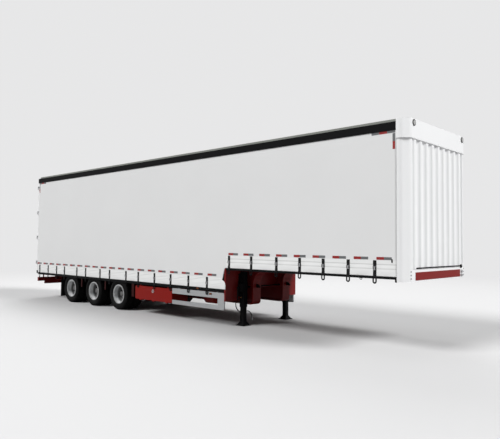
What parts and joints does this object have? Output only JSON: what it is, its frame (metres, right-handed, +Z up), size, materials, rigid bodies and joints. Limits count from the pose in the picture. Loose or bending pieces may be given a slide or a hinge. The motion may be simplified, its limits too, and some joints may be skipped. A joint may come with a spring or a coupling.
{
  "type": "curtain-sided drop-deck semi trailer",
  "caption": "Drop-deck semi trailer with curtain sides, fluted front wall, cranked main beams, landing legs, hinged rear doors and tool boxes, and twin wheels that turn.",
  "frame": {"origin": "on the ground under the middle of the trailer's length and width", "axes": "+X forward, towards the kingpin; +Y to the trailer's left; +Z up"},
  "size_m": [13.7, 2.6, 4.08],
  "materials": {
    "white_panel": "gloss",
    "chassis_red": "satin",
    "panel_red": "gloss",
    "black_paint": "satin",
    "curtain": "satin",
    "strap": "matte",
    "pelmet": "matte",
    "roof_skin": "satin",
    "aluminium": "satin",
    "steel": "brushed",
    "cast_steel": "machined",
    "wood_floor": "matte",
    "tyre": "matte",
    "rubber": "matte",
    "wheel_silver": "satin",
    "clear_lens": "gloss",
    "red_lens": "gloss"
  },
  "bodies": {
    "trailer": {"air_hose": "rubber", "air_springs": "rubber", "air_tanks": "chassis_red", "axles": "black_paint", "brake_chambers": "black_paint", "cant_rails": "aluminium", "corner_posts": "white_panel", "coupler_plate": "steel", "curtain_buckles": "steel", "curtain_left": "curtain", "curtain_right": "curtain", "curtain_straps": "strap", "deck_cross_members": "chassis_red", "front_couplings": "steel", "front_header": "white_panel", "front_panel": "panel_red", "front_sill": "white_panel", "front_wall": "white_panel", "hinge_lugs": "steel", "kingpin": "cast_steel", "landing_drive": "black_paint", "landing_feet": "black_paint", "landing_legs": "black_paint", "lower_floor": "wood_floor", "main_beams": "chassis_red", "marker_lamps": "clear_lens", "mudflaps": "rubber", "mudguard_brackets": "chassis_red", "neck_cross_members": "chassis_red", "pelmets": "pelmet", "rear_bumper": "chassis_red", "rear_frame": "white_panel", "roof_bows": "aluminium", "roof_sheet": "roof_skin", "side_guards": "aluminium", "side_rails": "black_paint", "step_riser": "chassis_red", "suspension_hangers": "chassis_red", "tail_lamps": "red_lens", "tool_boxes": "chassis_red", "trailing_arms": "black_paint", "upper_floor": "wood_floor"},
    "rear_door_left": {"rear_door_left": "white_panel", "lock_rods_left": "steel"},
    "rear_door_right": {"rear_door_right": "white_panel", "lock_rods_right": "steel"},
    "tool_box_lid_left": {"tool_box_lid_left": "chassis_red"},
    "tool_box_lid_right": {"tool_box_lid_right": "chassis_red"},
    "wheel_1_left": {"tyres_1_left": "tyre", "rims_1_left": "wheel_silver"},
    "wheel_1_right": {"tyres_1_right": "tyre", "rims_1_right": "wheel_silver"},
    "wheel_2_left": {"tyres_2_left": "tyre", "rims_2_left": "wheel_silver"},
    "wheel_2_right": {"tyres_2_right": "tyre", "rims_2_right": "wheel_silver"},
    "wheel_3_left": {"tyres_3_left": "tyre", "rims_3_left": "wheel_silver"},
    "wheel_3_right": {"tyres_3_right": "tyre", "rims_3_right": "wheel_silver"}
  },
  "joints": [
    {"name": "rear_door_right_hinge", "type": "hinge", "parent": "trailer", "child": "rear_door_right", "pos_m": [-6.836, -1.286, 2.4], "axis": [0, 0, 1], "range_deg": [0, 270]},
    {"name": "rear_door_left_hinge", "type": "hinge", "parent": "trailer", "child": "rear_door_left", "pos_m": [-6.836, 1.286, 2.4], "axis": [0, 0, -1], "range_deg": [0, 270]},
    {"name": "tool_box_lid_right_hinge", "type": "hinge", "parent": "trailer", "child": "tool_box_lid_right", "pos_m": [-0.27, -1.253, 0.368], "axis": [1, 0, 0], "range_deg": [0, 90]},
    {"name": "tool_box_lid_left_hinge", "type": "hinge", "parent": "trailer", "child": "tool_box_lid_left", "pos_m": [-0.27, 1.253, 0.368], "axis": [-1, 0, 0], "range_deg": [0, 90]},
    {"name": "wheel_1_right_spin", "type": "hinge", "parent": "trailer", "child": "wheel_1_right", "pos_m": [-1.91, -0.9635, 0.4335], "axis": [0, 1, 0], "continuous": true},
    {"name": "wheel_1_left_spin", "type": "hinge", "parent": "trailer", "child": "wheel_1_left", "pos_m": [-1.91, 0.9635, 0.4335], "axis": [0, 1, 0], "continuous": true},
    {"name": "wheel_2_right_spin", "type": "hinge", "parent": "trailer", "child": "wheel_2_right", "pos_m": [-3.22, -0.9635, 0.4335], "axis": [0, 1, 0], "continuous": true},
    {"name": "wheel_2_left_spin", "type": "hinge", "parent": "trailer", "child": "wheel_2_left", "pos_m": [-3.22, 0.9635, 0.4335], "axis": [0, 1, 0], "continuous": true},
    {"name": "wheel_3_right_spin", "type": "hinge", "parent": "trailer", "child": "wheel_3_right", "pos_m": [-4.53, -0.9635, 0.4335], "axis": [0, 1, 0], "continuous": true},
    {"name": "wheel_3_left_spin", "type": "hinge", "parent": "trailer", "child": "wheel_3_left", "pos_m": [-4.53, 0.9635, 0.4335], "axis": [0, 1, 0], "continuous": true}
  ]
}
